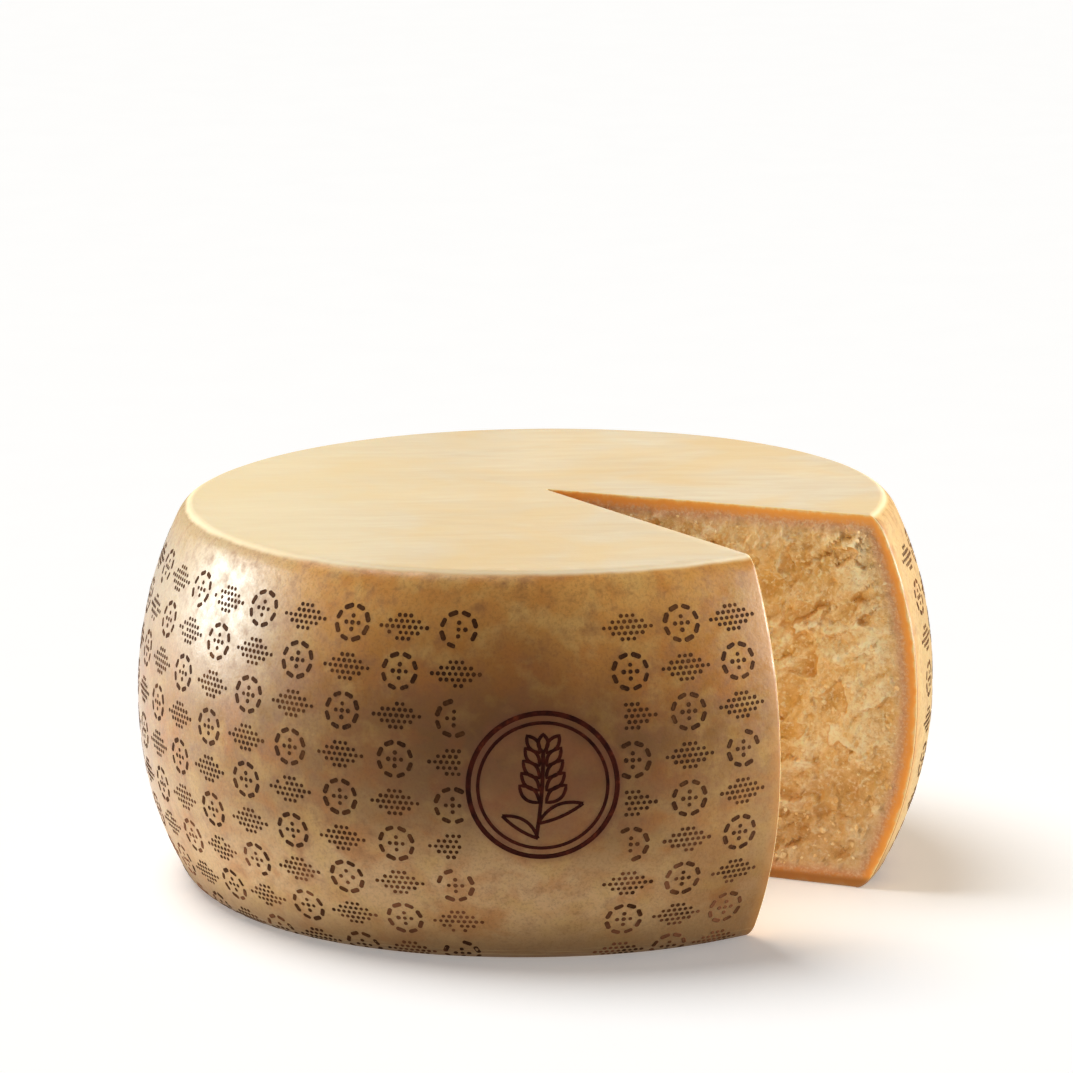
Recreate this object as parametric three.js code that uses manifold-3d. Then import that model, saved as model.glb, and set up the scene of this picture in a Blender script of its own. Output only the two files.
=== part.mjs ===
// A drum of hard, aged cheese with a wedge cut out of it, in millimetres, with +Z up.
// The origin is under the middle of the drum, on the surface that it stands on.
import * as THREE from 'three';
import { mergeVertices } from 'three/addons/utils/BufferGeometryUtils.js';
import Module from 'manifold-3d';

const { clamp, degToRad, lerp, smoothstep } = THREE.MathUtils;

// The drum: two flats joined by a side that swells to a bulge
const HEIGHT = 200;
const TOP_RADIUS = 184;
const BULGE_RADIUS = 209;
const BOTTOM_RADIUS = 183;
const BULGE_HEIGHT = 97;
const UPPER_SWELL = 2.13;
const LOWER_SWELL = 2.09;
const RIM_HEIGHT = 8;
const RIM_DEPTH = 5;
const SIDE_ROWS = 16;
const RIM_ROWS = 4;
const SECTORS = 96;

// The drum isn't quite true: it has settled a little towards one side, and it is out of round
const SETTLED = new THREE.Vector2(3.2, -6.4);
const OUT_OF_ROUND = [
  { lobes: 2, height: 0.5, turn: 0.7 },
  { lobes: 6, height: 0.4, turn: 2.1 },
];

// The notch: two cuts that meet in an upright line near the middle of the drum
const ROOT = new THREE.Vector2(6, 16);
const ROOT_WIDTH = 1.6;
const CUT_REACH = 236;
const CUT_MARGIN = 6;
const CUT_COLUMNS = 28;
const CUT_ROWS = 26;
const NEAR_CUT = { angle: -57.7, twist: 1.3, side: -1, seed: 3 };
const FAR_CUT = { angle: -24.4, twist: -0.9, side: 1, seed: 11 };

// The crags of the broken paste, which fade out where the rind begins
const CRAG_HEIGHT = 4;
const CRAG_LENGTH = 44;
const CRAG_WIDTH = 27;
const CRAG_TILT = 35;
const RIDGE_SHARE = 0.35;
const RIDGES_PER_CRAG = 2.3;
const RIND_WIDTH = 7;
const CRAG_FADE = 14;

// A repeatable random number from 0 to 1 for each corner of a grid
function randomAt(column, row, seed) {
  const wave = 43758.5453 * Math.sin(127.1 * column + 311.7 * row + 74.7 * seed);
  return wave - Math.floor(wave);
}

// Noise from -1 to 1 that runs smoothly between the random numbers of the grid
function smoothNoise(x, y, seed) {
  const column = Math.floor(x);
  const row = Math.floor(y);
  const across = smoothstep(x - column, 0, 1);
  const up = smoothstep(y - row, 0, 1);
  const lower = lerp(randomAt(column, row, seed), randomAt(column + 1, row, seed), across);
  const upper = lerp(randomAt(column, row + 1, seed), randomAt(column + 1, row + 1, seed), across);
  return 2 * lerp(lower, upper, up) - 1;
}

// The drum's radius at a height, with the rims rounded off
function radiusAt(z) {
  const above = z > BULGE_HEIGHT;
  const flatRadius = above ? TOP_RADIUS : BOTTOM_RADIUS;
  const swell = above ? UPPER_SWELL : LOWER_SWELL;
  const reach = above ? (z - BULGE_HEIGHT) / (HEIGHT - BULGE_HEIGHT) : 1 - z / BULGE_HEIGHT;
  const side = BULGE_RADIUS - (BULGE_RADIUS - flatRadius) * reach ** swell;
  const intoRim = Math.max(0, 1 - Math.min(z, HEIGHT - z) / RIM_HEIGHT);
  return side - RIM_DEPTH * (1 - Math.sqrt(1 - intoRim ** 2));
}

// The heights at which the side has points, close together over the rims
function sideHeights() {
  const rim = [];
  for (let row = 0; row < RIM_ROWS; row += 1) {
    rim.push(RIM_HEIGHT * (1 - Math.cos((Math.PI / 2) * (row / RIM_ROWS))));
  }
  const halfRows = SIDE_ROWS / 2;
  const side = [];
  for (let row = 0; row < halfRows; row += 1) {
    side.push(lerp(RIM_HEIGHT, BULGE_HEIGHT, row / halfRows));
  }
  for (let row = 0; row <= halfRows; row += 1) {
    side.push(lerp(BULGE_HEIGHT, HEIGHT - RIM_HEIGHT, row / halfRows));
  }
  const topRim = rim.map((z) => HEIGHT - z).reverse();
  return [...rim, ...side, ...topRim];
}

// Moves a point of the true drum to where it lies on the settled one
function settle(point) {
  const angle = Math.atan2(point.y, point.x);
  const radius = Math.hypot(point.x, point.y);
  let stretch = 1;
  for (const { lobes, height, turn } of OUT_OF_ROUND) {
    stretch += (height * Math.sin(lobes * angle + turn)) / BULGE_RADIUS;
  }
  const lean = point.z / HEIGHT - 0.5;
  point.x = radius * stretch * Math.cos(angle) + SETTLED.x * lean;
  point.y = radius * stretch * Math.sin(angle) + SETTLED.y * lean;
}

// Moves each point of a geometry by a function
function reshape(geometry, move) {
  const position = geometry.attributes.position;
  const point = new THREE.Vector3();
  for (let index = 0; index < position.count; index += 1) {
    point.fromBufferAttribute(position, index);
    move(point);
    position.setXYZ(index, point.x, point.y, point.z);
  }
}

// Leaves only the positions, with the points that neighbours share merged
function closed(geometry) {
  geometry.deleteAttribute('normal');
  geometry.deleteAttribute('uv');
  return mergeVertices(geometry, 0.001);
}

function drum() {
  const side = sideHeights().map((z) => new THREE.Vector2(radiusAt(z), z));
  const outline = [new THREE.Vector2(0, 0), ...side, new THREE.Vector2(0, HEIGHT)];
  const geometry = new THREE.LatheGeometry(outline, SECTORS);
  geometry.rotateX(Math.PI / 2);
  const merged = closed(geometry);
  reshape(merged, settle);
  return merged;
}

// How far the broken paste stands out of a cut, at a distance from the root and a height
function cragAt(distance, z, seed) {
  const tilt = degToRad(CRAG_TILT);
  const along = (distance * Math.cos(tilt) + z * Math.sin(tilt)) / CRAG_LENGTH;
  const across = (z * Math.cos(tilt) - distance * Math.sin(tilt)) / CRAG_WIDTH;
  const lumps = smoothNoise(along, across, seed);
  const folds = smoothNoise(RIDGES_PER_CRAG * along, RIDGES_PER_CRAG * across, seed + 1);
  const ridges = 1 - 2 * Math.abs(folds);
  const toOutside = Math.min(z, HEIGHT - z, radiusAt(clamp(z, 0, HEIGHT)) - distance);
  const rindFade = smoothstep(toOutside, RIND_WIDTH, RIND_WIDTH + CRAG_FADE);
  const rootFade = smoothstep(distance, 0, CRAG_FADE);
  return CRAG_HEIGHT * lerp(lumps, ridges, RIDGE_SHARE) * rindFade * rootFade;
}

// The space of the notch: a box whose two long faces become the cuts, with their crags
function notch() {
  const geometry = new THREE.BoxGeometry(1, 1, 1, CUT_COLUMNS, 1, CUT_ROWS);
  reshape(geometry, (point) => {
    const cut = point.y < 0 ? NEAR_CUT : FAR_CUT;
    const distance = CUT_REACH * (point.x + 0.5);
    const z = (HEIGHT + 2 * CUT_MARGIN) * (point.z + 0.5) - CUT_MARGIN;
    const lean = z / HEIGHT - 0.5;
    const angle = degToRad(cut.angle - cut.twist * lean);
    const along = new THREE.Vector2(Math.cos(angle), Math.sin(angle));
    const outward = new THREE.Vector2(-along.y, along.x).multiplyScalar(cut.side);
    const shift = ROOT_WIDTH / 2 - cragAt(distance, z, cut.seed);
    point.x = ROOT.x + SETTLED.x * lean + along.x * distance + outward.x * shift;
    point.y = ROOT.y + SETTLED.y * lean + along.y * distance + outward.y * shift;
    point.z = z;
  });
  return closed(geometry);
}

const wasm = await Module();
wasm.setup();

function toSolid(geometry) {
  const vertProperties = new Float32Array(geometry.attributes.position.array);
  const triVerts = new Uint32Array(geometry.index.array);
  return new wasm.Manifold(new wasm.Mesh({ numProp: 3, vertProperties, triVerts }));
}

function toGeometry(solid) {
  const mesh = solid.getMesh();
  const geometry = new THREE.BufferGeometry();
  geometry.setAttribute('position', new THREE.BufferAttribute(mesh.vertProperties, 3));
  geometry.setIndex(new THREE.BufferAttribute(mesh.triVerts, 1));
  geometry.computeVertexNormals();
  return geometry;
}

const rind = new THREE.MeshStandardMaterial({ color: 0xb98d55, roughness: 0.5, metalness: 0 });
const wheel = new THREE.Mesh(toGeometry(toSolid(drum()).subtract(toSolid(notch()))), rind);
wheel.name = 'cheese_wheel';

const part = new THREE.Group();
part.add(wheel);

export default part;
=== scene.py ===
"""A drum of hard, aged cheese with a wedge cut out: an imprinted rind round a crumbly paste."""
import math

import bpy
import numpy as np
from mathutils import Euler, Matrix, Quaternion, Vector
from mathutils.geometry import delaunay_2d_cdt


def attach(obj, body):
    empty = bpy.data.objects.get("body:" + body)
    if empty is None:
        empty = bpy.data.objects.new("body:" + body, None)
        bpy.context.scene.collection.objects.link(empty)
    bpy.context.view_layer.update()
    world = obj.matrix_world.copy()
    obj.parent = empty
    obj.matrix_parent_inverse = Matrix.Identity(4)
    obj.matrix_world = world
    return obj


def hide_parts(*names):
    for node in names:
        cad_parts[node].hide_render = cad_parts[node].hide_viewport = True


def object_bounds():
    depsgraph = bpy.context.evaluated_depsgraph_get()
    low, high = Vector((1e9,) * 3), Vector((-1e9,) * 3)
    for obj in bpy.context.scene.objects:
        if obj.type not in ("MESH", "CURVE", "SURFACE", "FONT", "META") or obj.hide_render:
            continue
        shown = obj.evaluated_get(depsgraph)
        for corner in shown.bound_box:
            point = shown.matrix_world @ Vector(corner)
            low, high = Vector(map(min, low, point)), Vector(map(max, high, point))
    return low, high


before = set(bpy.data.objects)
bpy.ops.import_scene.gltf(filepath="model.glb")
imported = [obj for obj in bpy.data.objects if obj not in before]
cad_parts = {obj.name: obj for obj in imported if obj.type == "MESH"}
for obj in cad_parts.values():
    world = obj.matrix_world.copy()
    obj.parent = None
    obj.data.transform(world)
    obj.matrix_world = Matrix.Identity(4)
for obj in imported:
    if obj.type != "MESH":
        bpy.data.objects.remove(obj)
cad_low, cad_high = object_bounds()

# Sizes below are in mm, and MM turns them into the scene's metres
MM = 0.001

# The drum, as the solid has it
HEIGHT = (cad_high.z - cad_low.z) / MM
TOP_RADIUS = 184
BULGE_RADIUS = 209
BOTTOM_RADIUS = 183
BULGE_HEIGHT = 97
UPPER_SWELL = 2.13
LOWER_SWELL = 2.09
RIM_HEIGHT = 8
RIM_DEPTH = 5
SETTLED = (3.2, -6.4)
OUT_OF_ROUND = ((2, 0.5, 0.7), (6, 0.4, 2.1))

# The notch, as the solid has it. A cut is its angle, its twist, the side of the paste and a seed
ROOT = (6, 16)
ROOT_WIDTH = 1.6
NEAR_CUT = (-57.7, 1.3, -1, 3)
FAR_CUT = (-24.4, -0.9, 1, 11)
NOTCH_MIDDLE = math.radians((NEAR_CUT[0] + FAR_CUT[0]) / 2)
CRAG_HEIGHT = 4
CRAG_LENGTH = 44
CRAG_WIDTH = 27
CRAG_TILT = math.radians(35)
RIDGE_SHARE = 0.35
RIDGES_PER_CRAG = 2.3
RIND_WIDTH = 7
CRAG_FADE = 14

# The fine surface: how many rows and columns, and how far it lies inside the solid's box
SKIN_INSET = 0.4
SKIN_COLUMNS = 204
SIDE_ROWS = 138
RIM_ROWS = 8
FLAT_SPACING = 6
EDGE_WIDTH = 0.9
EDGE_PULL = 0.35
SKIN_SWELL = 0.35
TOP_DIP = 0.3
SOLE_RISE = 0.2
SHARP_EDGE = math.radians(48)


def random_at(column, row, seed):
    """A repeatable random number from 0 to 1 for each corner of a grid, as the solid has it."""
    wave = 43758.5453 * np.sin(127.1 * column + 311.7 * row + 74.7 * seed)
    return wave - np.floor(wave)


def smoothstep(value, low, high):
    share = np.clip((value - low) / (high - low), 0, 1)
    return share * share * (3 - 2 * share)


def smooth_noise(x, y, seed):
    """Noise from -1 to 1 that runs smoothly between the random numbers of the grid."""
    column, row = np.floor(x), np.floor(y)
    across, up = smoothstep(x - column, 0, 1), smoothstep(y - row, 0, 1)
    levels = []
    for corner_row in (row, row + 1):
        left, right = random_at(column, corner_row, seed), random_at(column + 1, corner_row, seed)
        levels.append(left * (1 - across) + right * across)
    return 2 * (levels[0] * (1 - up) + levels[1] * up) - 1


def flake_noise(x, y, seed):
    """Heights of about -1 to 1 of broken facets, each a small tilted plane in an uneven grid."""
    column, row = np.floor(x), np.floor(y)
    nearest = np.full(np.shape(x), 9.0)
    height = np.zeros(np.shape(x))
    for step_x in (-1, 0, 1):
        for step_y in (-1, 0, 1):
            cell_x, cell_y = column + step_x, row + step_y
            off_x = x - cell_x - 0.1 - 0.8 * random_at(cell_x, cell_y, seed)
            off_y = y - cell_y - 0.1 - 0.8 * random_at(cell_x, cell_y, seed + 1)
            tilt_x = 2 * random_at(cell_x, cell_y, seed + 2) - 1
            tilt_y = 2 * random_at(cell_x, cell_y, seed + 3) - 1
            level = 2 * random_at(cell_x, cell_y, seed + 4) - 1
            distance = off_x * off_x + off_y * off_y
            nearer = distance < nearest
            nearest = np.where(nearer, distance, nearest)
            height = np.where(nearer, 0.5 * level + 0.9 * (tilt_x * off_x + tilt_y * off_y), height)
    return height


# The drum's outside


def radius_at(z):
    """The drum's radius at a height, with the rims rounded off."""
    above = z > BULGE_HEIGHT
    reach = np.where(above, (z - BULGE_HEIGHT) / (HEIGHT - BULGE_HEIGHT), 1 - z / BULGE_HEIGHT)
    flat_radius = np.where(above, TOP_RADIUS, BOTTOM_RADIUS)
    swell = np.where(above, UPPER_SWELL, LOWER_SWELL)
    side = BULGE_RADIUS - (BULGE_RADIUS - flat_radius) * np.abs(reach) ** swell
    into_rim = np.clip(1 - np.minimum(z, HEIGHT - z) / RIM_HEIGHT, 0, 1)
    return side - RIM_DEPTH * (1 - np.sqrt(1 - into_rim ** 2))


def skin_radius(angle, z):
    """The radius of the drum as it really is: a little out of round, and gently uneven."""
    radius = radius_at(z)
    for lobes, height, turn in OUT_OF_ROUND:
        radius = radius * (1 + height * np.sin(lobes * angle + turn) / BULGE_RADIUS)
    around = 12 * ((angle - NOTCH_MIDDLE) % (2 * math.pi))
    swells = 0.7 * smooth_noise(around / 2, z / 42, 21) + 0.3 * smooth_noise(around, z / 17, 22)
    return radius - SKIN_INSET + SKIN_SWELL * (swells - 1)


def settled(x, y, z):
    """Leans the upright drum a little, as it has settled, and returns points in mm."""
    lean = z / HEIGHT - 0.5
    return np.stack([x + SETTLED[0] * lean, y + SETTLED[1] * lean, z + 0 * x], -1)


def skin_point(angle, z, lift=0):
    """A point of the outside, or one that stands off it by lift."""
    step = 0.5
    slope = (radius_at(z + step) - radius_at(z - step)) / (2 * step)
    length = np.sqrt(1 + slope ** 2)
    radius = skin_radius(angle, z) + lift / length
    return settled(radius * np.cos(angle), radius * np.sin(angle), z - lift * slope / length)


def side_heights():
    """Heights of the side's rows, close together over the rims."""
    rim = RIM_HEIGHT * (1 - np.cos(np.linspace(0, math.pi / 2, RIM_ROWS + 1)))
    middle = np.linspace(RIM_HEIGHT, HEIGHT - RIM_HEIGHT, SIDE_ROWS + 1)
    return np.concatenate([rim, middle[1:-1], (HEIGHT - rim)[::-1]])


# The cut faces


def cut_directions(cut, z):
    """For each height, the way that a cut runs from the root, and the way into the cheese."""
    angle = np.radians(cut[0] - cut[1] * (z / HEIGHT - 0.5))
    along = np.stack([np.cos(angle), np.sin(angle)], -1)
    into = cut[2] * np.stack([-along[..., 1], along[..., 0]], -1)
    return along, into


def cut_edge(cut, z):
    """How far from the root a cut meets the outside at each height, and the angle there."""
    along, into = cut_directions(cut, z)
    start = np.array(ROOT) + into * ROOT_WIDTH / 2
    radius = radius_at(z)
    for _ in range(5):
        towards = (start * along).sum(-1)
        reach = -towards + np.sqrt(towards ** 2 + radius ** 2 - (start ** 2).sum(-1))
        point = start + along * reach[..., None]
        angle = np.arctan2(point[..., 1], point[..., 0])
        radius = skin_radius(angle, z)
    return reach, angle


def crag_frame(distance, z):
    along = distance * math.cos(CRAG_TILT) + z * math.sin(CRAG_TILT)
    across = z * math.cos(CRAG_TILT) - distance * math.sin(CRAG_TILT)
    return along, across


def crags(distance, z, seed):
    """The large crags, as the solid has them."""
    along, across = crag_frame(distance, z)
    along, across = along / CRAG_LENGTH, across / CRAG_WIDTH
    lumps = smooth_noise(along, across, seed)
    ridges = 1 - 2 * np.abs(smooth_noise(RIDGES_PER_CRAG * along, RIDGES_PER_CRAG * across, seed + 1))
    return CRAG_HEIGHT * ((1 - RIDGE_SHARE) * lumps + RIDGE_SHARE * ridges)


def warped(distance, z, seed):
    """The crags' frame, bent here and there, so that no row of flakes runs straight."""
    along, across = crag_frame(distance, z)
    for size, reach, step in ((64, 8, 4), (11, 3.2, 5), (4, 1.3, 6)):
        shift_along = reach * smooth_noise(along / size, across / size, seed + step)
        shift_across = reach * smooth_noise(along / size, across / size, seed + step + 2)
        along, across = along + shift_along, across + shift_across
    return along, across


def fine_crags(along, across, seed):
    """Broken flakes on the crags, from 15 mm down to 3 mm across."""
    rough = 0.75 + 0.35 * smooth_noise(along / 30, across / 30, seed + 9)
    large = 2.3 * flake_noise(along / 15, across / 10, seed + 20)
    medium = 1.6 * flake_noise(along / 7, across / 4.7, seed + 30)
    small = 0.45 * flake_noise(along / 3.5, across / 2.8, seed + 40)
    return large, rough * (medium + small)


def edge_pull(depth):
    """How far the surface draws back near a cut's edge, which softens the edge."""
    return EDGE_PULL * np.clip(1 - depth / EDGE_WIDTH, 0, 1) ** 2


def on_cut(cut, distance, z):
    """Points of a cut face, with each one's depth, relief and place among the crags."""
    to_edge = cut_edge(cut, z)[0] - distance
    depth = np.minimum(np.minimum(z, HEIGHT - z), to_edge)
    along, into = cut_directions(cut, z)
    large_fade = smoothstep(depth, RIND_WIDTH, RIND_WIDTH + CRAG_FADE)
    large_fade = large_fade * smoothstep(distance, 0, CRAG_FADE)
    fine_fade = smoothstep(depth, RIND_WIDTH - 1, RIND_WIDTH + 4) * smoothstep(distance, 0, 6)
    place = warped(distance, z, cut[3])
    large, fine = fine_crags(*place, cut[3])
    relief = (crags(distance, z, cut[3]) + large) * large_fade + fine * fine_fade
    shift = ROOT_WIDTH / 2 - relief + edge_pull(depth)
    distance = distance - edge_pull(to_edge)
    z = z + edge_pull(z) - edge_pull(HEIGHT - z)
    x = ROOT[0] + along[..., 0] * distance + into[..., 0] * shift
    y = ROOT[1] + along[..., 1] * distance + into[..., 1] * shift
    return settled(x, y, z), depth, relief, *place


def steepness(relief, distance, z):
    """How steeply the crags rise or fall at each point of a grid, in mm per mm."""
    outward = np.gradient(relief, axis=0) / np.gradient(distance, axis=0)
    upward = np.gradient(relief, axis=1) / np.gradient(z, axis=1)
    return np.hypot(outward, upward)


def cut_columns(reach=208, coarse=2.0, fine=1.0, fine_from=88):
    """Shares of the way from the root to the edge, closer together near the edge."""
    inner = np.arange(0, fine_from, coarse)
    outer = np.arange(fine_from, reach - 2 * EDGE_WIDTH, fine)
    edge = reach - EDGE_WIDTH * np.array([2, 1.35, 0.9, 0.45, 0])
    return np.concatenate([inner, outer, edge]) / reach


# The whole body as one closed mesh


class MeshParts:
    """Collects points and faces, and the numbers that the materials read at each point."""

    def __init__(self):
        self.points = []
        self.numbers = []
        self.faces = []
        self.slots = []

    def add_points(self, points, *numbers):
        start, shape = len(self.points), np.shape(points)[:-1]
        flat = np.asarray(points, float).reshape(-1, 3)
        self.points.extend(map(tuple, flat))
        self.numbers.extend(zip(*(np.broadcast_to(number, shape).reshape(-1) for number in numbers)))
        return start + np.arange(len(flat)).reshape(shape)

    def add_faces(self, faces, slot):
        self.faces.extend(faces)
        self.slots.extend([slot] * len(faces))

    def add_grid(self, index, slot, flip=False):
        """Faces between the points of a grid of indices."""
        corners = (index[:-1, :-1], index[1:, :-1], index[1:, 1:], index[:-1, 1:])
        faces = np.stack(corners[::-1] if flip else corners, -1).reshape(-1, 4)
        self.add_faces([tuple(f) for f in faces.tolist()], slot)


# The body's two materials: the rind on its outside and the paste of its cuts
OUTSIDE, CUT = 0, 1


def inside_outline(places, outline):
    """Which places lie inside a closed outline, by how often a line to the right crosses it."""
    start, end = outline[:, :2], np.roll(outline[:, :2], -1, 0)
    x, y = places[:, 0, None], places[:, 1, None]
    spans = (start[None, :, 1] > y) != (end[None, :, 1] > y)
    rise = np.where(np.abs(end[:, 1] - start[:, 1]) < 1e-9, 1e-9, end[:, 1] - start[:, 1])
    slope = ((end[:, 0] - start[:, 0]) / rise)[None, :]
    crossing = start[None, :, 0] + (y - start[None, :, 1]) * slope
    return (spans & (x < crossing)).sum(1) % 2 == 1


def fill_flat(parts, ring, z, flip):
    """Fills a flat with triangles, with points of its own inside the ring."""
    outline = np.array([parts.points[i] for i in ring])
    steps = np.arange(-BULGE_RADIUS, BULGE_RADIUS, FLAT_SPACING)
    grid_x, grid_y = np.meshgrid(steps, steps * math.sqrt(3) / 2 * 1.2)
    grid_x = grid_x + np.where(np.arange(len(steps)) % 2, FLAT_SPACING / 2, 0)[:, None]
    inner = np.stack([grid_x.ravel(), grid_y.ravel()], -1)
    gap = np.min(np.linalg.norm(inner[:, None, :] - outline[None, ::2, :2], axis=2), axis=1)
    inner = inner[(gap > 0.6 * FLAT_SPACING) & inside_outline(inner, outline)]
    corners = [Vector(p[:2]) for p in outline.tolist()] + [Vector(p) for p in inner.tolist()]
    made = delaunay_2d_cdt(corners, [], [list(range(len(ring)))], 1, 1e-5, True)
    points, faces, origins = made[0], made[2], made[3]
    index = []
    for point, origin in zip(points, origins):
        if origin and origin[0] < len(ring):
            index.append(ring[origin[0]])
        else:
            dip = smooth_noise(np.array(point[0] / 55), np.array(point[1] / 38), 31) - 1
            place = (point[0], point[1], z + (TOP_DIP * float(dip) if z > 0 else SOLE_RISE))
            index.append(int(parts.add_points(np.array([place]), BULGE_RADIUS, 0, 0, 0, 0)[0]))
    middles = np.array([sum((points[c] for c in face), Vector((0, 0))) / len(face) for face in faces])
    kept = [face for face, within in zip(faces, inside_outline(middles, outline)) if within]
    turned = [face[::-1] if flip else face for face in kept]
    parts.add_faces([tuple(index[corner] for corner in face) for face in turned], OUTSIDE)


def build_body():
    parts = MeshParts()
    heights = side_heights()
    columns = cut_columns()
    grids = {}
    for cut in (FAR_CUT, NEAR_CUT):
        reach = cut_edge(cut, heights)[0]
        distance = columns[:, None] * reach[None, :]
        z = heights[None, :] + 0 * distance
        points, depth, relief, *place = on_cut(cut, distance, z)
        steep = steepness(relief, distance, z)
        grids[cut] = parts.add_points(points, depth, relief, *place, steep)
    far_angle = cut_edge(FAR_CUT, heights)[1]
    near_angle = cut_edge(NEAR_CUT, heights)[1] + 2 * math.pi
    edge_steps = EDGE_WIDTH * np.array([1, 2, 3.5]) / (2 * math.pi * TOP_RADIUS)
    shares = np.concatenate([edge_steps, np.linspace(0, 1, SKIN_COLUMNS)[1:-1], 1 - edge_steps[::-1]])
    angles = far_angle[None, :] + shares[:, None] * (near_angle - far_angle)[None, :]
    z = heights[None, :] + 0 * angles
    radius = skin_radius(angles, z)
    to_cut = np.minimum(shares, 1 - shares)[:, None] * (near_angle - far_angle)[None, :] * radius
    points = settled(radius * np.cos(angles), radius * np.sin(angles), z)
    side = parts.add_points(points, to_cut, 0, 0, 0, 0)
    side = np.concatenate([grids[FAR_CUT][-1:], side, grids[NEAR_CUT][-1:]])
    parts.add_grid(side, OUTSIDE)
    parts.add_grid(grids[FAR_CUT], CUT)
    parts.add_grid(grids[NEAR_CUT], CUT, flip=True)
    root = np.stack([grids[NEAR_CUT][0], grids[FAR_CUT][0]])
    parts.add_grid(root, CUT)
    for row, flip in ((0, True), (-1, False)):
        back_in, out_again = grids[NEAR_CUT][::-1, row][1:], grids[FAR_CUT][:, row][:-1]
        ring = np.concatenate([side[:, row], back_in, out_again])
        fill_flat(parts, ring.tolist(), heights[row], flip)
    return parts


def make_object(name, points, faces, materials, slots=None, smooth=True):
    mesh = bpy.data.meshes.new(name)
    mesh.from_pydata([tuple(MM * c for c in p) for p in points], [], faces)
    for material in materials:
        mesh.materials.append(material)
    if slots is not None:
        mesh.polygons.foreach_set("material_index", slots)
    mesh.polygons.foreach_set("use_smooth", [smooth] * len(mesh.polygons))
    mesh.update()
    obj = bpy.data.objects.new(name, mesh)
    bpy.context.collection.objects.link(obj)
    return obj


# Chips and grains of the broken paste, half sunk in the cut faces

CHIP_SIDES = 6
CHIP_COUNT = 2000
CHIP_SMALLEST = 0.8
CHIP_SPREAD = 1.6
CHIP_DEPTH = RIND_WIDTH + 2


def unit(vectors):
    """The same directions, each with a length of 1."""
    return vectors / np.linalg.norm(vectors, axis=-1, keepdims=True)


def make_chips(name, cut, seed, material):
    """Scatters angular chips over one cut face, each two low cones on an uneven outline."""
    draw = np.random.default_rng(seed)
    z = draw.uniform(CHIP_DEPTH, HEIGHT - CHIP_DEPTH, CHIP_COUNT)
    distance = (cut_edge(cut, z)[0] - CHIP_DEPTH) * draw.uniform(0.02, 1, CHIP_COUNT)
    crowded = 0.6 + 0.7 * smooth_noise(distance / 16, z / 11, seed)
    kept = draw.random(CHIP_COUNT) < crowded
    z, distance = z[kept], distance[kept]
    count = len(z)
    middle = on_cut(cut, distance, z)[0]
    into = cut_directions(cut, z)[1]
    outward = np.concatenate([-into, np.zeros((count, 1))], -1)
    axis = unit(outward + 0.3 * draw.normal(size=(count, 3)))
    first = unit(np.cross(axis, draw.normal(size=(count, 3))))
    second = np.cross(axis, first)
    size = CHIP_SMALLEST + CHIP_SPREAD * draw.random(count) ** 3.5
    uneven = draw.uniform(-0.3, 0.3, (count, CHIP_SIDES))
    turn = 2 * math.pi * (np.arange(CHIP_SIDES) + uneven) / CHIP_SIDES
    radius = size[:, None] * draw.uniform(0.65, 1.15, (count, CHIP_SIDES))
    stretch = draw.uniform(0.55, 1.0, (count, 1))
    rim = (
        first[:, None] * (radius * np.cos(turn))[..., None]
        + second[:, None] * (radius * stretch * np.sin(turn))[..., None]
        + axis[:, None] * (size[:, None] * draw.uniform(-0.15, 0.15, (count, CHIP_SIDES)))[..., None]
    )
    peak = axis * draw.uniform(0.15, 0.4, (count, 1)) + first * draw.uniform(-0.5, 0.5, (count, 1))
    peak = peak * size[:, None]
    foot = axis * -0.6 * size[:, None]
    points = middle[:, None] + np.concatenate([rim, peak[:, None], foot[:, None]], 1)
    peak_index, foot_index = CHIP_SIDES, CHIP_SIDES + 1
    fans = []
    for side in range(CHIP_SIDES):
        following = (side + 1) % CHIP_SIDES
        fans.append((side, following, peak_index))
        fans.append((following, side, foot_index))
    faces = np.array(fans)[None] + (CHIP_SIDES + 2) * np.arange(count)[:, None, None]
    points, faces = points.reshape(-1, 3).tolist(), faces.reshape(-1, 3).tolist()
    return make_object(name, points, faces, [material], smooth=False)


# Materials


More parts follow.
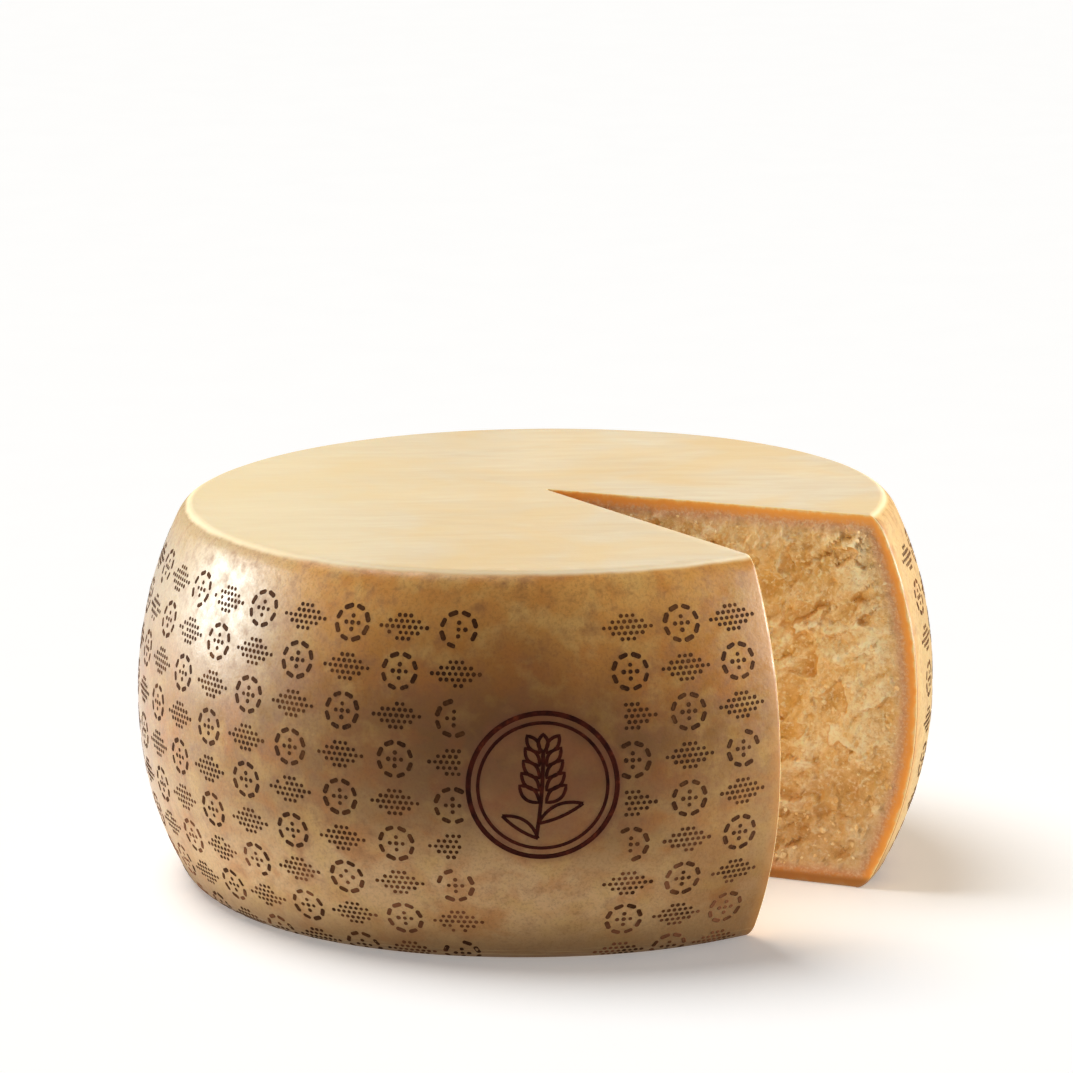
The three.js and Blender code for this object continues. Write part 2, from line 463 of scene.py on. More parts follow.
class Shader:
    """A material with one Principled shader, and short ways to add the nodes that feed it."""

    def __init__(self, name, colour, roughness, **settings):
        self.material = bpy.data.materials.new(name)
        self.material.use_nodes = True
        self.tree = self.material.node_tree
        self.shader = self.tree.nodes["Principled BSDF"]
        self.shader.inputs["Base Color"].default_value = (*colour, 1)
        self.shader.inputs["Roughness"].default_value = roughness
        for key, value in settings.items():
            self.shader.inputs[key.replace("_", " ")].default_value = value
        self.place = self.node("ShaderNodeTexCoord").outputs["Object"]

    def node(self, kind, inputs=None, **settings):
        node = self.tree.nodes.new(kind)
        for key, value in settings.items():
            setattr(node, key, value)
        for key, value in (inputs or {}).items():
            self.feed(node.inputs[key], value)
        return node

    def feed(self, socket, value):
        """Links a socket to another one, or sets its number or its colour."""
        if isinstance(value, bpy.types.NodeSocket):
            self.tree.links.new(value, socket)
        elif socket.type == "RGBA" and isinstance(value, tuple):
            socket.default_value = (*value, 1)
        else:
            socket.default_value = value

    def soften(self, radius, scale):
        """How far light runs under the surface: red, green and blue shares of a reach in mm."""
        self.shader.inputs["Subsurface Radius"].default_value = radius
        self.shader.inputs["Subsurface Scale"].default_value = scale * MM

    def stretched(self, factors, turn=0.0):
        """The object's coordinates in mm, stretched along the axes after a turn about Z."""
        scale = tuple(factor / MM for factor in factors)
        inputs = {"Vector": self.place, "Rotation": (0, 0, turn), "Scale": scale}
        return self.node("ShaderNodeMapping", inputs).outputs["Vector"]

    def axes(self):
        """The object's coordinates in mm, one by one."""
        return self.node("ShaderNodeSeparateXYZ", {"Vector": self.stretched((1, 1, 1))}).outputs

    def noise(self, size, detail=3, roughness=0.5, factors=(1, 1, 1), turn=0.0, distortion=0.0):
        """Noise whose lumps are about size mm across."""
        place = self.stretched(tuple(f / size for f in factors), turn)
        return self.noise_at(place, detail, roughness, distortion)

    def noise_at(self, place, detail, roughness, distortion=0.0):
        inputs = {"Vector": place, "Scale": 1, "Detail": detail}
        inputs.update({"Roughness": roughness, "Distortion": distortion})
        return self.node("ShaderNodeTexNoise", inputs).outputs["Fac"]

    def ramp(self, factor, *stops):
        """Colours, or greys where a stop is a number, along a factor."""
        node = self.node("ShaderNodeValToRGB", {"Fac": factor})
        elements = node.color_ramp.elements
        while len(elements) < len(stops):
            elements.new(0.5)
        for element, (position, colour) in zip(elements, stops):
            element.position = position
            element.color = (*colour, 1) if isinstance(colour, tuple) else (colour, colour, colour, 1)
        return node.outputs["Color"]

    def mix(self, factor, first, second, blend="MIX"):
        node = self.node("ShaderNodeMix", data_type="RGBA", blend_type=blend)
        for index, value in ((0, factor), (6, first), (7, second)):
            self.feed(node.inputs[index], value)
        return node.outputs[2]

    def patch(self, colour, spread, low, high, tone):
        """Another tone where a noise lies between two stops, each a level and a share."""
        return self.mix(self.ramp(spread, low, high), colour, rgb(*tone))

    def math(self, operation, *values):
        node = self.node("ShaderNodeMath", operation=operation)
        for socket, value in zip(node.inputs, values):
            self.feed(socket, value)
        return node.outputs[0]

    def product(self, first, *others):
        for other in others:
            first = self.math("MULTIPLY", first, other)
        return first

    def between(self, value, low, high):
        """A share that runs smoothly from 0 at low to 1 at high, or back where low is the larger."""
        inputs = {"Value": value, "From Min": low, "From Max": high}
        node = self.node("ShaderNodeMapRange", inputs, interpolation_type="SMOOTHSTEP")
        return node.outputs["Result"]

    def number(self, name):
        return self.node("ShaderNodeAttribute", attribute_name=name).outputs["Fac"]

    def set(self, name, value):
        self.tree.links.new(value, self.shader.inputs[name])

    def bump(self, height, distance, strength=1.0, under=None):
        inputs = {"Height": height, "Distance": distance * MM, "Strength": strength}
        if under is not None:
            inputs["Normal"] = under
        return self.node("ShaderNodeBump", inputs).outputs["Normal"]


def rgb(*levels):
    """Linear values of a colour given as it looks on a screen, from 0 to 255."""
    shares = [level / 255 for level in levels]
    return tuple(s / 12.92 if s <= 0.04045 else ((s + 0.055) / 1.055) ** 2.4 for s in shares)


def side_colour(shader, axes, broad):
    """The side of the rind: golden above, beige below, with painted shade darkening the belly at the
    front and back.
    """
    height = axes[2]
    wavy = shader.math("MULTIPLY_ADD", broad, 50, shader.math("SUBTRACT", height, 25))
    colour = shader.ramp(
        shader.math("DIVIDE", wavy, HEIGHT),
        (0.05, rgb(211, 169, 111)),
        (0.2, rgb(215, 172, 119)),
        (0.38, rgb(184, 141, 85)),
        (0.62, rgb(165, 117, 55)),
        (0.76, rgb(180, 121, 49)),
        (0.88, rgb(195, 136, 62)),
        (0.96, rgb(214, 154, 76)),
    )
    golden = shader.noise(42, 3, 0.6, (1, 1, 1.5), turn=1.2, distortion=0.4)
    colour = shader.patch(colour, golden, (0.5, 0.0), (0.66, 0.45), (186, 124, 48))
    orange = shader.noise(22, 5, 0.55, (1, 1, 1.2), distortion=0.3)
    colour = shader.patch(colour, orange, (0.48, 0.0), (0.64, 0.6), (188, 119, 46))
    olive = shader.noise(17, 5, 0.56, (1, 1, 1.1), turn=0.6)
    colour = shader.patch(colour, olive, (0.49, 0.0), (0.66, 0.6), (206, 164, 94))
    colour = zoned(shader, colour, axes, wavy)
    stains = shader.ramp(shader.noise(9, 5, 0.6), (0.51, 0.0), (0.7, 0.6))
    stains = shader.product(stains, shader.between(height, -60, 130))
    colour = shader.mix(stains, colour, rgb(136, 82, 30))
    speckle = shader.noise(1.5, 3, 0.7)
    return shader.patch(colour, speckle, (0.34, 0.3), (0.52, 0.0), (114, 68, 26))


def zoned(shader, colour, axes, wavy):
    """Paints shade on the belly at the front and back and in the corner by the near cut, a pale
    painted sheen on the far side and a painted highlight on the upper left side.
    """
    x, y, height = axes
    across, deep = shader.product(x, x), shader.product(y, y)
    facing = shader.math("DIVIDE", deep, shader.math("ADD", across, deep))
    facing = shader.math("POWER", facing, 2.3)
    from_belly = shader.math("ABSOLUTE", shader.math("SUBTRACT", wavy, 0.57 * HEIGHT))
    front = shader.math("MULTIPLY_ADD", shader.between(y, 170, -120), 0.32, 0.55)
    # Painted shade: the belly is darkened, most at the front
    painted_belly_shade = shader.product(facing, shader.between(from_belly, 66, 10), front)
    colour = shader.mix(painted_belly_shade, colour, rgb(171, 146, 86), "MULTIPLY")
    # A pale painted sheen on the far side, where it turns away
    pale = shader.product(shader.between(facing, 0.75, 0.1), shader.between(x, 90, 170), 0.6)
    colour = shader.mix(pale, colour, rgb(198, 173, 127))
    # A painted highlight, pale and greyish, on the upper left side
    painted_left_highlight = shader.product(shader.between(x, -90, -165), shader.between(height, 105, 170), 0.8)
    colour = shader.mix(painted_left_highlight, colour, rgb(190, 169, 132))
    # Painted shade in the corner by the near cut, low down and, less, below the rim
    above = shader.product(shader.between(height, 140, 185), 0.5)
    ends = shader.math("MAXIMUM", shader.between(height, 110, 20), above)
    corner = shader.product(shader.between(x, 30, 108), shader.between(y, -60, -130), ends)
    return shader.mix(corner, colour, rgb(180, 168, 156), "MULTIPLY")


def scorched(shader, colour):
    """Reddens the rind inside and close round the burnt emblem."""
    x, y, z = shader.axes()
    off_x = shader.math("SUBTRACT", x, BULGE_RADIUS * math.cos(EMBLEM_ANGLE))
    off_z = shader.math("SUBTRACT", z, EMBLEM_HEIGHT)
    squares = shader.math("ADD", shader.product(off_x, off_x), shader.product(off_z, off_z))
    radius = shader.math("SQRT", squares)
    front = shader.math("LESS_THAN", y, 0)
    uneven = shader.ramp(shader.noise(12, 3, 0.6), (0.35, 0.1), (0.65, 0.5))
    within = shader.between(radius, EMBLEM_RADIUS + 5, EMBLEM_RADIUS - 3)
    colour = shader.mix(shader.product(within, front, uneven), colour, rgb(156, 90, 38))
    from_ring = shader.math("ABSOLUTE", shader.math("SUBTRACT", radius, EMBLEM_RADIUS - 2))
    halo = shader.product(shader.between(from_ring, 7, 2), front, uneven)
    return shader.mix(halo, colour, rgb(112, 54, 26))


def top_colour(shader, axes, broad):
    """The top of the rind: cream with fine streaks, honey-coloured at the rim, with a painted
    highlight along the rim's edge, painted shade at the rim on the right and painted light over the
    left.
    """
    x, height = axes[0], axes[2]
    streaks = shader.noise(9, 4, 0.6, (0.2, 1, 1), turn=0.05, distortion=0.7)
    cream = shader.ramp(streaks, (0.3, rgb(215, 191, 156)), (0.7, rgb(224, 207, 176)))
    cream = shader.patch(cream, broad, (0.36, 0.55), (0.6, 0.0), (227, 190, 128))
    # A painted highlight along the edge of the rim
    painted_rim_highlight = shader.product(shader.between(height, HEIGHT, HEIGHT - 1.2), 0.35)
    cream = shader.mix(painted_rim_highlight, cream, rgb(248, 230, 194))
    honey = shader.between(height, HEIGHT - 0.8, HEIGHT - 3)
    honey = shader.product(honey, shader.between(x, -150, -60))
    cream = shader.mix(honey, cream, rgb(216, 166, 88))
    shaded = shader.between(height, HEIGHT - 0.5, HEIGHT - 1.8)
    shaded = shader.product(shaded, 0.6, shader.between(x, 60, 150))
    cream = shader.mix(shaded, cream, rgb(190, 162, 112))
    # Painted light: the left of the top is lighter
    painted_light_left = shader.product(shader.between(x, 0, -170), 0.6)
    return shader.mix(painted_light_left, cream, rgb(240, 218, 172))


def rind_material():
    shader = Shader("rind", rgb(170, 122, 70), 0.5, Specular_IOR_Level=0.55, Subsurface_Weight=0.1)
    shader.soften((1.0, 0.5, 0.2), 4)
    shader.shader.inputs["Sheen Roughness"].default_value = 0.4
    axes = shader.axes()
    height = axes[2]
    broad = shader.noise(75, 3, 0.55, distortion=0.6)
    colour = scorched(shader, side_colour(shader, axes, broad))
    scuffs = shader.ramp(shader.noise(0.9, 3, 0.6, (0.02, 0.02, 1)), (0.52, 0.0), (0.64, 0.6))
    low = shader.product(shader.between(height, 9, 3), scuffs)
    # Painted shade: darker towards the bottom
    bottom_shade = shader.product(shader.between(height, 30, 4), 0.7)
    colour = shader.mix(low, shader.mix(bottom_shade, colour, rgb(134, 96, 54)), rgb(196, 166, 118))
    to_cut = shader.number("depth")
    # A painted orange glow along the cut edges, as of light passing through the rind
    painted_edge_glow = shader.product(shader.between(to_cut, 9, 1), 0.3)
    colour = shader.mix(painted_edge_glow, colour, rgb(200, 134, 60))
    colour = shader.mix(shader.between(to_cut, 1.8, 0.2), colour, rgb(216, 196, 164), "MULTIPLY")
    lowered = shader.math("SUBTRACT", height, 0.9)
    rim_line = shader.math("MULTIPLY_ADD", shader.noise(16, 2), 1.8, lowered)
    top = shader.between(rim_line, HEIGHT - 3, HEIGHT - 1)
    shader.set("Base Color", shader.mix(top, colour, top_colour(shader, axes, broad)))
    waist = shader.product(
        shader.between(height, -20, 80),
        shader.between(to_cut, 0, 5),
        shader.between(height, HEIGHT - 3, HEIGHT - 24),
        shader.between(axes[0], 110, 0),
        0.7,
    )
    shader.set("Sheen Weight", waist)
    waxy = shader.ramp(shader.noise(9, 4, 0.6), (0.35, 0.3), (0.68, 0.54))
    shader.set("Roughness", shader.mix(top, waxy, (0.72, 0.72, 0.72)))
    pores = shader.bump(shader.noise(2.4, 4, 0.62), 0.25, 0.5)
    shader.set("Normal", shader.bump(shader.noise(14, 3, 0.5), 0.6, 0.4, pores))
    return shader.material


def straw_colour(shader, level):
    """The paste: golden where its level is low and pale where high, with warm patches and white
    grains. Where the level follows the relief, this is painted shade in the hollows and a painted
    highlight on the ridges.
    """
    straw = shader.ramp(
        level,
        (0.18, rgb(213, 161, 87)),
        (0.37, rgb(232, 191, 126)),
        (0.54, rgb(246, 216, 163)),
        (0.74, rgb(255, 242, 204)),
    )
    warmth = shader.noise(24, 3, 0.6, distortion=0.8)
    straw = shader.patch(straw, warmth, (0.48, 0.0), (0.66, 0.6), (236, 187, 102))
    rosy = shader.noise(30, 3, 0.6, turn=0.5, distortion=0.8)
    straw = shader.patch(straw, rosy, (0.52, 0.0), (0.72, 0.4), (224, 182, 142))
    pits = shader.noise(2.7, 3, 0.6)
    straw = shader.patch(straw, pits, (0.36, 0.4), (0.49, 0.0), (212, 160, 90))
    crumbs = shader.noise(3, 4, 0.65, turn=0.9)
    return shader.patch(straw, crumbs, (0.52, 0.0), (0.66, 0.65), (255, 242, 204))


def flaky(shader, length, width):
    """Noise drawn out along the crags, in flakes of about length by width."""
    along = shader.math("DIVIDE", shader.number("along"), length)
    across = shader.math("DIVIDE", shader.number("across"), width)
    place = shader.node("ShaderNodeCombineXYZ", {"X": along, "Y": across}).outputs["Vector"]
    return shader.noise_at(place, 6, 0.76)


def paste_material():
    shader = Shader("paste", rgb(218, 182, 124), 0.6, Specular_IOR_Level=0.4, Subsurface_Weight=0.3)
    shader.soften((1.0, 0.65, 0.3), 4)
    depth = shader.number("depth")
    # The relief's share of the level paints shade in the hollows and a highlight on the ridges
    level = shader.math("MULTIPLY_ADD", shader.number("relief"), 0.09, flaky(shader, 12, 8))
    grain = shader.noise(2.4, 4, 0.7)
    level = shader.math("MULTIPLY_ADD", grain, 0.45, shader.math("SUBTRACT", level, 0.225))
    straw = straw_colour(shader, level)
    # Painted glow: the steep walls between flakes are tinted golden, as light passing through the
    # paste would light them
    steep = shader.product(shader.between(shader.number("steep"), 0.5, 1.7), 0.85)
    straw = shader.mix(steep, straw, rgb(226, 168, 88))
    shallow = shader.math("SUBTRACT", depth, 2.4)
    uneven = shader.math("MULTIPLY_ADD", shader.noise(7, 4, 0.65), 5.0, shallow)
    share = shader.math("DIVIDE", uneven, 25.0)
    band = shader.ramp(
        share,
        (0.02, rgb(240, 214, 158)),
        (0.07, rgb(246, 182, 90)),
        (0.12, rgb(240, 166, 74)),
        (0.21, rgb(232, 160, 84)),
        (0.3, rgb(216, 160, 116)),
        (0.48, rgb(224, 184, 140)),
    )
    specks = shader.ramp(shader.noise(1.6, 3, 0.7), (0.46, 0.0), (0.62, 0.7))
    specks = shader.product(specks, shader.between(share, 0.12, 0.3))
    band = shader.mix(specks, band, rgb(236, 206, 164))
    height = shader.axes()[2]
    dull = shader.product(shader.between(height, 84, 14), 0.4)
    straw = shader.mix(dull, straw, rgb(204, 168, 128))
    colour = shader.mix(shader.between(share, 0.28, 0.58), band, straw)
    sole = shader.product(shader.between(height, 7.5, 3.5), 0.75)
    shader.set("Base Color", shader.mix(sole, colour, rgb(150, 94, 46)))
    broken = shader.between(share, 0.15, 0.4)
    crumbs = shader.product(shader.noise(5, 4, 0.62, distortion=0.6), broken)
    grit = shader.product(shader.noise(1.8, 5, 0.72), broken)
    shader.set("Normal", shader.bump(grit, 1.0, 0.8, shader.bump(crumbs, 1.6, 0.6)))
    return shader.material


def chip_material():
    shader = Shader("paste_chips", rgb(224, 198, 148), 0.6, Specular_IOR_Level=0.4)
    # The chips sit a little higher on the paste's tones: partly their own paler grain, partly a
    # painted highlight where they catch the light
    straw = straw_colour(shader, shader.math("ADD", shader.noise(5.5, 3, 0.6), 0.06))
    shader.set("Base Color", straw)
    shader.set("Normal", shader.bump(shader.noise(0.7, 2), 0.2, 0.6))
    return shader.material


# The imprint: rings and seeds of pin pricks, each a tiny dish with a raised lip

SIDE_STEPS = 2001
MARK_SINK = -0.35
MARK_LIP = 0.12
MARK_FLOOR = 0.05
MARK_COLUMNS = 44
MARK_ROW_PITCH = 22
FIRST_ROW = 7
ROW_COUNT = 9
LOWEST_MARK = 2.5
EDGE_MARGIN = 2.2
LEAST_OF_MOTIF = 0.4
MISSING_SHARE = 0.015
EMBLEM_ANGLE = math.radians(-89.1)
EMBLEM_HEIGHT = 97
EMBLEM_RADIUS = 37
EMBLEM_CLEARANCE = 41
BAND_HALF = 20


def arc_tables():
    z = np.linspace(0, HEIGHT, SIDE_STEPS)
    radius = radius_at(z)
    arc = np.concatenate([[0], np.cumsum(np.hypot(np.diff(z), np.diff(radius)))])
    return arc, z


ARC, ARC_Z = arc_tables()
NEAR_EDGE = cut_edge(NEAR_CUT, ARC_Z)[1]
FAR_EDGE = cut_edge(FAR_CUT, ARC_Z)[1]


def on_side(angle, arc, across, up, lift):
    """A point of the side, given by a place in mm across and up from a motif's middle."""
    z = np.clip(np.interp(arc + up, ARC, ARC_Z), 1, HEIGHT - 1)
    return skin_point(angle + across / radius_at(z), z, lift)


def dish_rings(length, width, sides):
    """The outlines of one prick, from its sunken rim over the lip to the floor."""
    turn = np.linspace(0, 2 * math.pi, sides, endpoint=False)
    straight = np.sign(np.cos(turn)) * (length - width) / 2
    rings = []
    for share, lift in ((1.0, MARK_SINK), (0.86, MARK_LIP), (0.6, MARK_FLOOR)):
        across = straight + share * width / 2 * np.cos(turn)
        up = share * width / 2 * np.sin(turn)
        rings.append((across, up, np.full(sides, lift)))
    return rings


def add_prick(points, faces, angle, arc, centre, heading, length, width, sides):
    """Adds one closed dish to a piece. Centre is in mm from the motif's middle."""
    start = len(points)
    cos, sin = math.cos(heading), math.sin(heading)
    for across, up, lift in dish_rings(length, width, sides):
        turned_across = centre[0] + across * cos - up * sin
        turned_up = centre[1] + across * sin + up * cos
        points.extend(on_side(angle, arc, turned_across, turned_up, lift).tolist())
    for ring in range(2):
        for side in range(sides):
            a = start + ring * sides + side
            b = start + ring * sides + (side + 1) % sides
            faces.append((a, b, b + sides, a + sides))
    faces.append(tuple(start + 2 * sides + side for side in range(sides)))
    faces.append(tuple(start + side for side in reversed(range(sides))))


def ring_pricks(draw):
    """A dashed ring with a cross of pin pricks in it."""
    made = []
    for step in range(8):
        turn = 2 * math.pi * (step + 0.5) / 8
        centre = (8.5 * math.cos(turn), 8.5 * math.sin(turn))
        made.append((centre, turn + math.pi / 2, 5.5, 2.8, 10))
    for across, up in ((0, 0), (3.4, 0), (-3.4, 0), (0, 3.4), (0, -3.4)):
        made.append(((across, up), draw.uniform(0, 3), 2.7, 2.7, 7))
    return made


def seed_pricks(draw):
    """A lens of pin pricks in five lines."""
    made = []
    for up, count in ((5.8, 3), (2.9, 6), (0, 9), (-2.9, 6), (-5.8, 3)):
        for step in range(count):
            across = 3.0 * (step - (count - 1) / 2)
            made.append(((across, up), draw.uniform(0, 3), 2.45, 2.45, 7))
    return made


def bare_place(angle, arc, reach):
    """Whether a place is in the notch or over its edge, in the bare band or round the emblem."""
    z = np.interp(arc, ARC, ARC_Z)
    turn = (angle + math.pi) % (2 * math.pi) - math.pi
    margin = (EDGE_MARGIN + reach) / radius_at(z)
    in_notch = np.interp(z, ARC_Z, NEAR_EDGE) - margin < turn < np.interp(z, ARC_Z, FAR_EDGE) + margin
    beside = abs(turn - EMBLEM_ANGLE) * radius_at(z)
    level = abs(z - EMBLEM_HEIGHT)
    blank = EMBLEM_CLEARANCE if level < EMBLEM_CLEARANCE + 6 else BAND_HALF
    return in_notch or beside < blank


def make_imprint(name, pricks_of, parity, seed, material):
    """Rows of one motif all round the side, in every other place of a straight grid."""
    draw = np.random.default_rng(seed)
    points, faces = [], []
    for row in range(ROW_COUNT):
        arc = FIRST_ROW + MARK_ROW_PITCH * row
        for column in range(MARK_COLUMNS):
            if (row + column) % 2 != parity:
                continue
            angle = EMBLEM_ANGLE + 2 * math.pi * (column + 0.5) / MARK_COLUMNS
            pricks = pricks_of(draw)
            kept = []
            for centre, heading, length, width, sides in pricks:
                shrink = draw.uniform(0.88, 1.08)
                place = arc + centre[1]
                turn = angle + centre[0] / radius_at(np.interp(place, ARC, ARC_Z))
                if place >= LOWEST_MARK and not bare_place(turn, place, width / 2):
                    kept.append((centre, heading, shrink * length, shrink * width, sides))
            if len(kept) < LEAST_OF_MOTIF * len(pricks):
                continue
            for prick in kept:
                if draw.random() > MISSING_SHARE:
                    add_prick(points, faces, angle, arc, *prick)
    return make_object(name, points, faces, [material])


def imprint_material():
    shader = Shader("imprint", rgb(76, 42, 14), 0.75, Specular_IOR_Level=0.12)
    fade = shader.noise(26, 3, 0.6)
    tones = ((0.36, rgb(60, 31, 9)), (0.55, rgb(76, 42, 13)), (0.75, rgb(106, 64, 28)))
    colour = shader.ramp(fade, *tones)
    height = shader.axes()[2]
    faint = shader.ramp(shader.noise(22, 2, 0.5, turn=1.1), (0.46, 0.0), (0.6, 0.7))
    faint = shader.product(faint, shader.between(height, 90, 25))
    colour = shader.mix(faint, colour, rgb(140, 88, 58))
    flecks = shader.ramp(shader.noise(1.2, 2, 0.6), (0.5, 0.0), (0.7, 0.3))
    shader.set("Base Color", shader.mix(flecks, colour, rgb(120, 82, 50)))
    shader.set("Normal", shader.bump(shader.noise(0.8, 2), 0.15, 0.5))
    return shader.material


# The emblem: a double ring round an ear of grain, burnt into the side

STROKE_EDGE = ((1.0, MARK_SINK), (0.72, 0.3), (0.3, 0.06))
STROKE_PROFILE = tuple((-share, lift) for share, lift in STROKE_EDGE) + STROKE_EDGE[::-1]


def add_stroke(points, faces, path, width, closed):
    """Adds a burnt stroke along a path of places in mm from the emblem's middle."""
    path = np.asarray(path, float)
    if closed:
        ahead, behind = np.roll(path, -1, 0), np.roll(path, 1, 0)
    else:
        ahead = np.vstack([path[1:], path[-1:]])
        behind = np.vstack([path[:1], path[:-1]])
    heading = unit(ahead - behind)
    beside = np.stack([-heading[:, 1], heading[:, 0]], 1)
    arc = np.interp(EMBLEM_HEIGHT, ARC_Z, ARC)
    start, count, sides = len(points), len(path), len(STROKE_PROFILE)
    for share, lift in STROKE_PROFILE:
        place = path + beside * share * width / 2
        ring = on_side(EMBLEM_ANGLE, arc, place[:, 0], place[:, 1], lift)
        points.extend(ring.tolist())
    for step in range(count if closed else count - 1):
        following = (step + 1) % count
        for side in range(sides):
            a = start + side * count
            b = start + ((side + 1) % sides) * count
            faces.append((a + following, b + following, b + step, a + step))
    if not closed:
        faces.append(tuple(start + side * count for side in reversed(range(sides))))
        faces.append(tuple(start + side * count + count - 1 for side in range(sides)))


def circle(radius, steps=96):
    turn = np.linspace(0, 2 * math.pi, steps, endpoint=False)
    return np.stack([radius * np.cos(turn), radius * np.sin(turn)], 1)


def bowed(start, end, bow, steps=14):
    """A line that bows to one side, as places from start to end."""
    start, end = np.array(start, float), np.array(end, float)
    share = np.linspace(0, 1, steps)[:, None]
    beside = np.array([-(end - start)[1], (end - start)[0]])
    return start + (end - start) * share + beside * bow * 4 * share * (1 - share)


def grain_outline(base, tip, fatness):
    """The outline of one grain, as a closed path with a pointed tip."""
    one = bowed(base, tip, fatness, 12)
    other = bowed(tip, base, fatness, 12)
    return np.vstack([one[:-1], other[:-1]])


def make_emblem(material):
    points, faces = [], []
    add_stroke(points, faces, circle(EMBLEM_RADIUS), 3.0, True)
    add_stroke(points, faces, circle(EMBLEM_RADIUS - 4.8), 2.0, True)
    add_stroke(points, faces, bowed((-3, -26), (0, 17.5), -0.02, 30), 2.3, False)
    for pair in range(5):
        foot = -8 + 6.3 * pair
        for side in (-1, 1):
            base = (side * 1.8, foot)
            tip = (side * (11.5 - 0.9 * pair), foot + 8.6)
            add_stroke(points, faces, grain_outline(base, tip, 0.24), 2.0, True)
    add_stroke(points, faces, grain_outline((0, 17.5), (0, 26.5), 0.27), 2.0, True)
    for side in (-1, 1):
        foot, tip = (-2.2, -23 + 4 * side), (side * 20, -12 + 3 * side)
        add_stroke(points, faces, bowed(foot, tip, 0.2 * side), 2.0, False)
        add_stroke(points, faces, bowed(foot, tip, -0.06 * side), 2.0, False)
    return make_object("burnt_emblem", points, faces, [material])


def burnt_material():
    shader = Shader("burnt_mark", rgb(76, 24, 10), 0.65, Specular_IOR_Level=0.1)
    burn = shader.noise(6, 4, 0.6)
    tones = ((0.35, rgb(50, 14, 6)), (0.6, rgb(78, 26, 10)), (0.8, rgb(122, 54, 24)))
    colour = shader.ramp(burn, *tones)
    shader.set("Base Color", colour)
    shader.set("Normal", shader.bump(shader.noise(1.0, 2), 0.2, 0.5))
    return shader.material


def make_body():
    parts = build_body()
    materials = [rind_material(), paste_material()]
    body = make_object("cheese_body", parts.points, parts.faces, materials, parts.slots)
    numbers = np.array(parts.numbers, float)
    for column, name in enumerate(("depth", "relief", "along", "across", "steep")):
        values = body.data.attributes.new(name, "FLOAT", "POINT")
        values.data.foreach_set("value", numbers[:, column])
    body.data.set_sharp_from_angle(angle=SHARP_EDGE)
    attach(body, "root")
    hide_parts("cheese_wheel")
    return body


def make_pieces():
    pieces = [make_body()]
    chips = chip_material()
    for name, cut, seed in (("near_face_chips", NEAR_CUT, 41), ("far_face_chips", FAR_CUT, 42)):
        piece = make_chips(name, cut, seed, chips)
        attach(piece, "root")
        pieces.append(piece)
    imprint = imprint_material()
    motifs = (("ring_marks", ring_pricks, 0, 5), ("seed_marks", seed_pricks, 1, 6))
    for name, pricks_of, parity, seed in motifs:
        marks = make_imprint(name, pricks_of, parity, seed, imprint)
        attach(marks, "root")
        pieces.append(marks)
    emblem = make_emblem(burnt_material())
    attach(emblem, "root")
    return [*pieces, emblem]


# The camera, where the photograph's was, in the same frame

PHOTO_SIZE = 1073
FOCAL_PIXELS = 5388
SENSOR = 36
CAMERA_DISTANCE = 2841
ELEVATION = math.radians(13.876)
MIDDLE_SEEN = (535.2, 679.35)
ROLL = math.radians(-0.565)


def make_camera():
    camera = bpy.data.objects.new("camera", bpy.data.cameras.new("camera"))
    bpy.context.collection.objects.link(camera)
    camera.data.lens = SENSOR * FOCAL_PIXELS / PHOTO_SIZE
    camera.data.sensor_width = SENSOR
    middle = Vector((0, 0, HEIGHT / 2))
    away = Vector((0, -math.cos(ELEVATION), math.sin(ELEVATION)))
    camera.location = (middle + away * CAMERA_DISTANCE) * MM
    pitch = ELEVATION - math.atan2(MIDDLE_SEEN[1] - PHOTO_SIZE / 2, FOCAL_PIXELS)
    yaw = math.atan2(MIDDLE_SEEN[0] - PHOTO_SIZE / 2, FOCAL_PIXELS)
    aim = Euler((math.pi / 2 - pitch, 0, yaw)).to_quaternion()
    camera.rotation_mode = "QUATERNION"
    camera.rotation_quaternion = Quaternion(away, ROLL) @ aim
    camera.data.clip_end = 20
    bpy.context.scene.camera = camera


# A pale floor under an even light from above, and a softbox on each side for the object alone.
# Places and sizes here are in metres

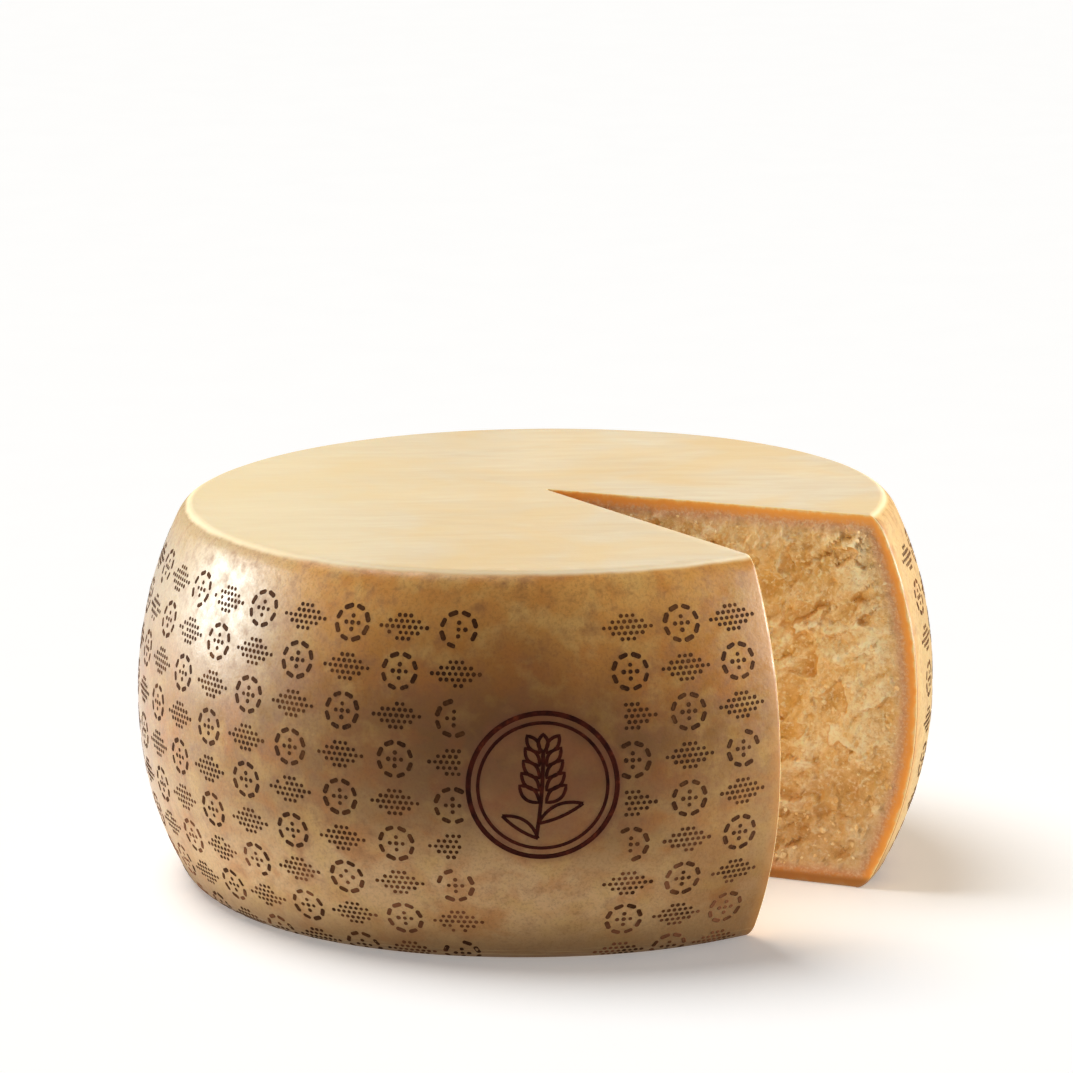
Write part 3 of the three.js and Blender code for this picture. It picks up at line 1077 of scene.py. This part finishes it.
TARGET = Vector((0, 0, 0.1))
WORLD_STRENGTH = 0.14
FLOOR_SIZE = 16
FLOOR_GLOW = 0.26
SOFTBOXES = (
    ("left_softbox", (-1.62, 0.38, 0.43), (0.7, 0.56), 27, (0.94, 0.99, 0.99)),
    ("right_softbox", (1.6, 0.06, 0.42), (0.8, 0.78), 44, (0.96, 0.985, 0.95)),
)


def add_light(name, kind, place, energy, colour):
    light = bpy.data.lights.new(name, kind)
    light.energy = energy
    light.color = colour
    obj = bpy.data.objects.new(name, light)
    bpy.context.collection.objects.link(obj)
    obj.location = place
    obj.rotation_euler = (TARGET - Vector(place)).to_track_quat("-Z", "Y").to_euler()
    obj.visible_camera = False
    return obj


def add_softbox(name, place, size, energy, colour, lit):
    obj = add_light(name, "AREA", place, energy, colour)
    obj.data.shape = "RECTANGLE"
    obj.data.size, obj.data.size_y = size
    obj.light_linking.receiver_collection = lit


def make_floor():
    bpy.ops.mesh.primitive_plane_add(size=FLOOR_SIZE, location=(0, 0, 0))
    floor = bpy.context.object
    floor.name = "floor"
    shader = Shader("floor", (0.93, 0.93, 0.93), 0.75, Specular_IOR_Level=0.2)
    shader.shader.inputs["Emission Color"].default_value = (1, 1, 1, 1)
    shader.shader.inputs["Emission Strength"].default_value = FLOOR_GLOW
    shader.set("Roughness", shader.ramp(shader.noise(60), (0.3, 0.7), (0.7, 0.8)))
    floor.data.materials.append(shader.material)
    floor.visible_glossy = False


def make_studio(pieces):
    world = bpy.data.worlds.new("studio")
    bpy.context.scene.world = world
    world.use_nodes = True
    background = world.node_tree.nodes["Background"]
    background.inputs["Color"].default_value = (1, 0.99, 0.97, 1)
    background.inputs["Strength"].default_value = WORLD_STRENGTH
    lit = bpy.data.collections.new("lit")
    for piece in pieces:
        lit.objects.link(piece)
    overhead = add_light("overhead", "SUN", (-0.65, 0.35, 1.9), 2.3, (1, 0.99, 0.97))
    overhead.data.angle = math.radians(35)
    for softbox in SOFTBOXES:
        add_softbox(*softbox, lit)
    make_floor()
    bpy.context.scene.view_settings.view_transform = "Standard"


make_camera()
make_studio(make_pieces())
